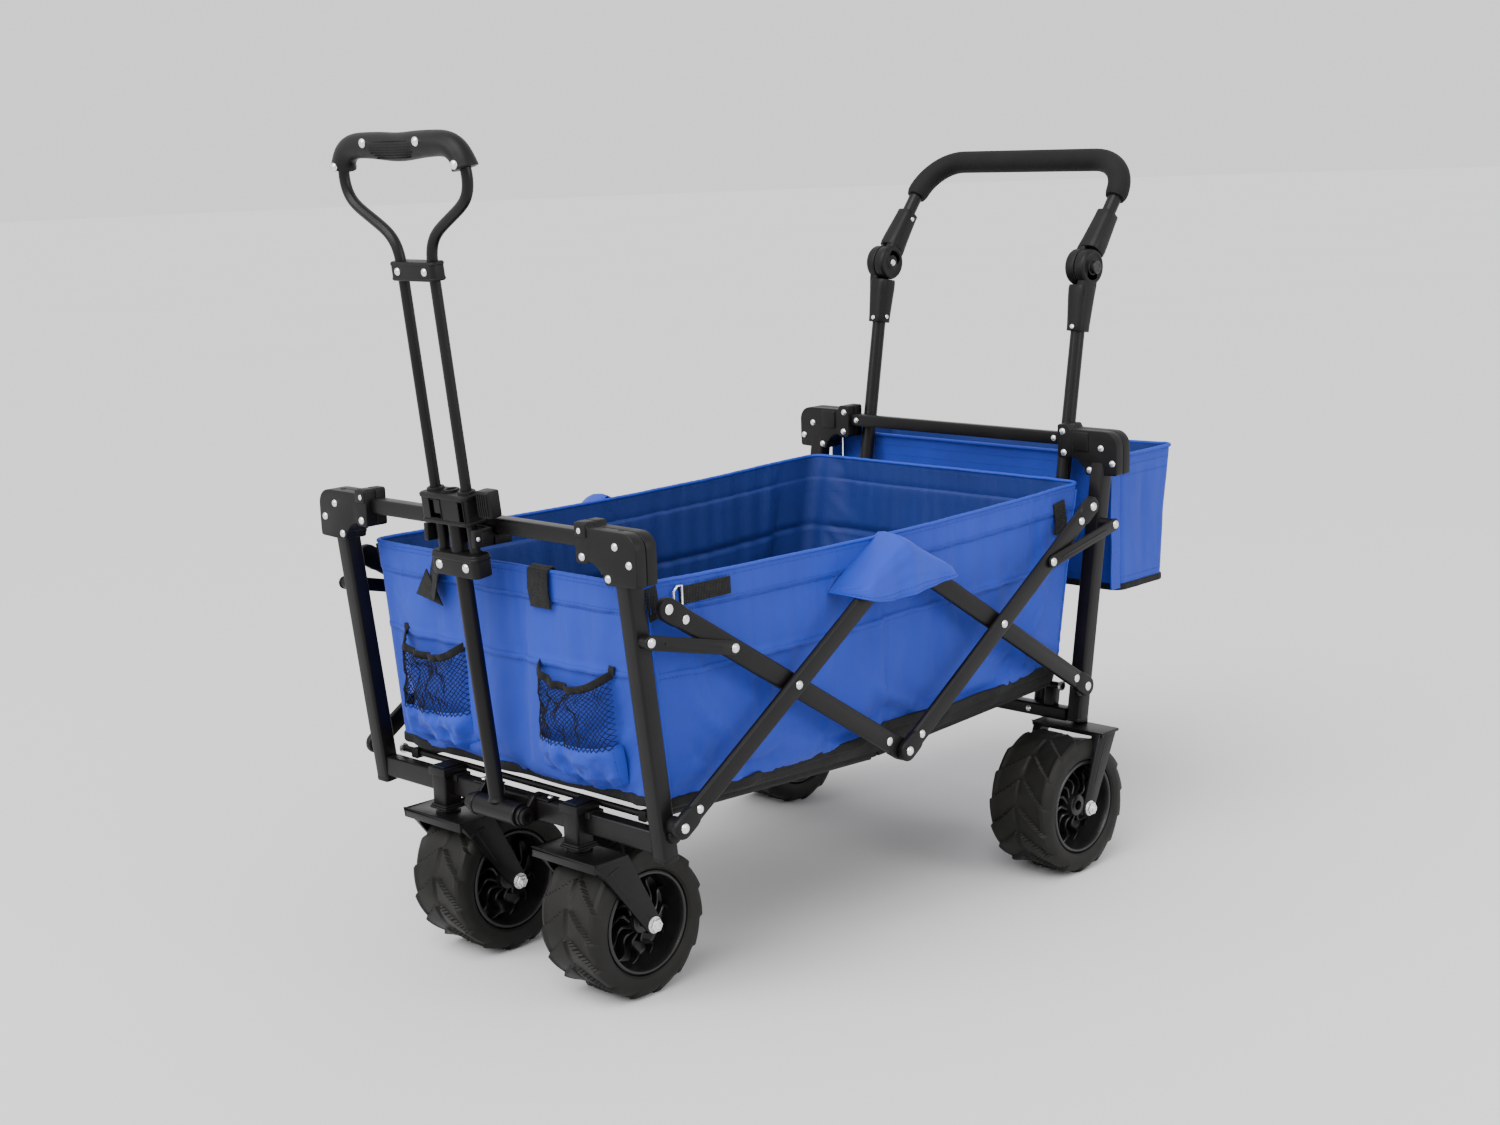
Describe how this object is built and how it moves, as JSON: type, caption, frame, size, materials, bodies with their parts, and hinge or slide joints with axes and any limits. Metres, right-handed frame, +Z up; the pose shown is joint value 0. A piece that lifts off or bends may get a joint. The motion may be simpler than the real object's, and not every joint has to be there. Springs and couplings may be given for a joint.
{
  "type": "folding beach cart",
  "caption": "Folding fabric beach cart with scissor side frames, wide wheels, telescoping pull handle, tilting push handle and a rear basket.",
  "frame": {"origin": "on the ground under the middle of the cart's overall box", "axes": "+X along the cart from the pull handle to the push handle, +Y to the cart's right when seen from the push handle facing the pull handle, +Z up"},
  "size_m": [1.1236, 0.624, 0.9843],
  "materials": {
    "front_post_left_paint": "satin",
    "front_post_right_paint": "satin",
    "front_lower_bar_paint": "satin",
    "front_top_bar_paint": "satin",
    "front_corner_left_plastic": "matte",
    "front_corner_right_plastic": "matte",
    "handle_dock_plastic": "matte",
    "tub_walls_cloth": "matte",
    "scissor_bar_b_left_paint": "satin",
    "scissor_bar_b_right_paint": "satin",
    "scissor_bar_a_left_paint": "satin",
    "scissor_bar_a_right_paint": "satin",
    "scissor_bar_d_left_paint": "satin",
    "scissor_bar_d_right_paint": "satin",
    "scissor_bar_c_left_paint": "satin",
    "scissor_bar_c_right_paint": "satin",
    "front_link_left_paint": "satin",
    "front_link_right_paint": "satin",
    "rear_link_left_paint": "satin",
    "rear_link_right_paint": "satin",
    "floor_rail_front_paint": "satin",
    "floor_board_front_cloth": "matte",
    "floor_rail_rear_paint": "satin",
    "floor_board_rear_cloth": "matte",
    "rear_post_left_paint": "satin",
    "rear_post_right_paint": "satin",
    "rear_lower_bar_paint": "satin",
    "rear_top_bar_paint": "satin",
    "rear_corner_left_plastic": "matte",
    "rear_corner_right_plastic": "matte",
    "rear_fork_left_paint": "satin",
    "rear_fork_right_paint": "satin",
    "push_tube_left_paint": "satin",
    "push_tube_right_paint": "satin",
    "tilt_base_left_plastic": "matte",
    "tilt_base_right_plastic": "matte",
    "basket_cloth": "matte",
    "pull_tube_paint": "satin",
    "pull_collar_plastic": "matte",
    "collar_latch_plastic": "matte",
    "pull_loop_paint": "satin",
    "loop_clamp_lower_plastic": "matte",
    "loop_clamp_upper_plastic": "matte",
    "pull_grip_rubber": "matte",
    "tilt_head_left_plastic": "matte",
    "tilt_head_right_plastic": "matte",
    "push_bar_paint": "satin",
    "push_foam_rubber": "matte",
    "caster_fork_left_paint": "satin",
    "front_tyre_left_rubber": "matte",
    "front_hub_left_plastic": "gloss",
    "rear_tyre_left_rubber": "matte",
    "rear_hub_left_plastic": "gloss",
    "tilt_button_left_plastic": "matte",
    "caster_fork_right_paint": "satin",
    "front_tyre_right_rubber": "matte",
    "front_hub_right_plastic": "gloss",
    "rear_tyre_right_rubber": "matte",
    "rear_hub_right_plastic": "gloss",
    "tilt_button_right_plastic": "matte"
  },
  "bodies": {
    "front_frame": {"front_post_left": "front_post_left_paint", "front_post_right": "front_post_right_paint", "front_lower_bar": "front_lower_bar_paint", "front_top_bar": "front_top_bar_paint", "front_corner_left": "front_corner_left_plastic", "front_corner_right": "front_corner_right_plastic", "handle_dock": "handle_dock_plastic", "tub_walls": "tub_walls_cloth"},
    "bars_b": {"scissor_bar_b_left": "scissor_bar_b_left_paint", "scissor_bar_b_right": "scissor_bar_b_right_paint"},
    "bars_a": {"scissor_bar_a_left": "scissor_bar_a_left_paint", "scissor_bar_a_right": "scissor_bar_a_right_paint"},
    "bars_d": {"scissor_bar_d_left": "scissor_bar_d_left_paint", "scissor_bar_d_right": "scissor_bar_d_right_paint"},
    "bars_c": {"scissor_bar_c_left": "scissor_bar_c_left_paint", "scissor_bar_c_right": "scissor_bar_c_right_paint"},
    "links_front": {"front_link_left": "front_link_left_paint", "front_link_right": "front_link_right_paint"},
    "links_rear": {"rear_link_left": "rear_link_left_paint", "rear_link_right": "rear_link_right_paint"},
    "floor_front": {"floor_rail_front": "floor_rail_front_paint", "floor_board_front": "floor_board_front_cloth"},
    "floor_rear": {"floor_rail_rear": "floor_rail_rear_paint", "floor_board_rear": "floor_board_rear_cloth"},
    "rear_frame": {"rear_post_left": "rear_post_left_paint", "rear_post_right": "rear_post_right_paint", "rear_lower_bar": "rear_lower_bar_paint", "rear_top_bar": "rear_top_bar_paint", "rear_corner_left": "rear_corner_left_plastic", "rear_corner_right": "rear_corner_right_plastic", "rear_fork_left": "rear_fork_left_paint", "rear_fork_right": "rear_fork_right_paint", "push_tube_left": "push_tube_left_paint", "push_tube_right": "push_tube_right_paint", "tilt_base_left": "tilt_base_left_plastic", "tilt_base_right": "tilt_base_right_plastic", "basket": "basket_cloth"},
    "pull_arm": {"pull_tube": "pull_tube_paint", "pull_collar": "pull_collar_plastic"},
    "pull_latch": {"collar_latch": "collar_latch_plastic"},
    "pull_hoop": {"pull_loop": "pull_loop_paint", "loop_clamp_lower": "loop_clamp_lower_plastic", "loop_clamp_upper": "loop_clamp_upper_plastic", "pull_grip": "pull_grip_rubber"},
    "push_handle": {"tilt_head_left": "tilt_head_left_plastic", "tilt_head_right": "tilt_head_right_plastic", "push_bar": "push_bar_paint", "push_foam": "push_foam_rubber"},
    "caster_left": {"caster_fork_left": "caster_fork_left_paint"},
    "front_wheel_left": {"front_tyre_left": "front_tyre_left_rubber", "front_hub_left": "front_hub_left_plastic"},
    "rear_wheel_left": {"rear_tyre_left": "rear_tyre_left_rubber", "rear_hub_left": "rear_hub_left_plastic"},
    "button_left": {"tilt_button_left": "tilt_button_left_plastic"},
    "caster_right": {"caster_fork_right": "caster_fork_right_paint"},
    "front_wheel_right": {"front_tyre_right": "front_tyre_right_rubber", "front_hub_right": "front_hub_right_plastic"},
    "rear_wheel_right": {"rear_tyre_right": "rear_tyre_right_rubber", "rear_hub_right": "rear_hub_right_plastic"},
    "button_right": {"tilt_button_right": "tilt_button_right_plastic"}
  },
  "joints": [
    {"name": "fold", "type": "hinge", "parent": "front_frame", "child": "bars_b", "pos_m": [-0.438, 0, 0.237], "axis": [0, -1, 0], "range_deg": [0, 44], "deforming": ["tub_walls", "floor_board_front", "floor_board_rear"]},
    {"name": "bars_a_pivot", "type": "hinge", "parent": "bars_b", "child": "bars_a", "pos_m": [-0.25173, 0, 0.35704], "axis": [0, -1, 0], "range_deg": [-88, 0]},
    {"name": "bars_d_pivot", "type": "hinge", "parent": "bars_b", "child": "bars_d", "pos_m": [-0.06546, 0, 0.47708], "axis": [0, -1, 0], "range_deg": [-88, 0]},
    {"name": "bars_c_pivot", "type": "hinge", "parent": "bars_d", "child": "bars_c", "pos_m": [0.12081, 0, 0.35704], "axis": [0, -1, 0], "range_deg": [0, 88]},
    {"name": "rear_frame_pivot", "type": "hinge", "parent": "bars_d", "child": "rear_frame", "pos_m": [0.30708, 0, 0.237], "axis": [0, -1, 0], "range_deg": [0, 44]},
    {"name": "links_front_pivot", "type": "hinge", "parent": "front_frame", "child": "links_front", "pos_m": [-0.469, 0, 0.447], "axis": [0, -1, 0], "range_deg": [0, 77.4]},
    {"name": "links_rear_pivot", "type": "hinge", "parent": "rear_frame", "child": "links_rear", "pos_m": [0.352, 0, 0.447], "axis": [0, -1, 0], "range_deg": [-70.8, 0]},
    {"name": "floor_front_pivot", "type": "hinge", "parent": "front_frame", "child": "floor_front", "pos_m": [-0.425, 0, 0.234], "axis": [0, -1, 0], "range_deg": [0, 78.5]},
    {"name": "floor_rear_pivot", "type": "hinge", "parent": "rear_frame", "child": "floor_rear", "pos_m": [0.297, 0, 0.234], "axis": [0, -1, 0], "range_deg": [-78.5, 0]},
    {"name": "caster_swivel_left", "type": "hinge", "parent": "front_frame", "child": "caster_left", "pos_m": [-0.451, -0.119, 0.185], "axis": [0, 0, 1], "continuous": true},
    {"name": "front_wheel_spin_left", "type": "hinge", "parent": "caster_left", "child": "front_wheel_left", "pos_m": [-0.3915, -0.119, 0.089], "axis": [0, 1, 0], "continuous": true},
    {"name": "rear_wheel_spin_left", "type": "hinge", "parent": "rear_frame", "child": "rear_wheel_left", "pos_m": [0.26, -0.252, 0.089], "axis": [0, 1, 0], "continuous": true},
    {"name": "caster_swivel_right", "type": "hinge", "parent": "front_frame", "child": "caster_right", "pos_m": [-0.451, 0.119, 0.185], "axis": [0, 0, 1], "continuous": true},
    {"name": "front_wheel_spin_right", "type": "hinge", "parent": "caster_right", "child": "front_wheel_right", "pos_m": [-0.3915, 0.119, 0.089], "axis": [0, 1, 0], "continuous": true},
    {"name": "rear_wheel_spin_right", "type": "hinge", "parent": "rear_frame", "child": "rear_wheel_right", "pos_m": [0.26, 0.252, 0.089], "axis": [0, 1, 0], "continuous": true},
    {"name": "pull_handle_hinge", "type": "hinge", "parent": "front_frame", "child": "pull_arm", "pos_m": [-0.468, 0, 0.212], "axis": [0, -1, 0], "range_deg": [0, 80]},
    {"name": "pull_slide", "type": "slide", "parent": "pull_arm", "child": "pull_hoop", "axis": [-0.1044, 0, 0.9945], "range_m": [-0.215, 0]},
    {"name": "pull_latch_press", "type": "slide", "parent": "pull_arm", "child": "pull_latch", "axis": [0, 1, 0], "range_m": [0, 0.004], "stiffness_N_per_m": 900, "springref_m": -0.0015},
    {"name": "push_tilt", "type": "hinge", "parent": "rear_frame", "child": "push_handle", "pos_m": [0.435, 0, 0.773], "axis": [0, -1, 0], "range_deg": [-51, 129]},
    {"name": "tilt_button_press_left", "type": "slide", "parent": "rear_frame", "child": "button_left", "axis": [0, 1, 0], "range_m": [0, 0.004], "stiffness_N_per_m": 900, "springref_m": -0.0015},
    {"name": "tilt_button_press_right", "type": "slide", "parent": "rear_frame", "child": "button_right", "axis": [0, -1, 0], "range_m": [0, 0.004], "stiffness_N_per_m": 900, "springref_m": -0.0015}
  ],
  "couplings": [
    {"joint": "bars_a_pivot", "follows": "fold", "ratio": -2},
    {"joint": "bars_d_pivot", "follows": "fold", "ratio": -2},
    {"joint": "bars_c_pivot", "follows": "fold", "ratio": 2},
    {"joint": "rear_frame_pivot", "follows": "fold", "ratio": 1},
    {"joint": "links_front_pivot", "follows": "fold", "ratio": 1.7575},
    {"joint": "links_rear_pivot", "follows": "fold", "ratio": -1.609},
    {"joint": "floor_front_pivot", "follows": "fold", "ratio": 1.784},
    {"joint": "floor_rear_pivot", "follows": "fold", "ratio": -1.784}
  ]
}
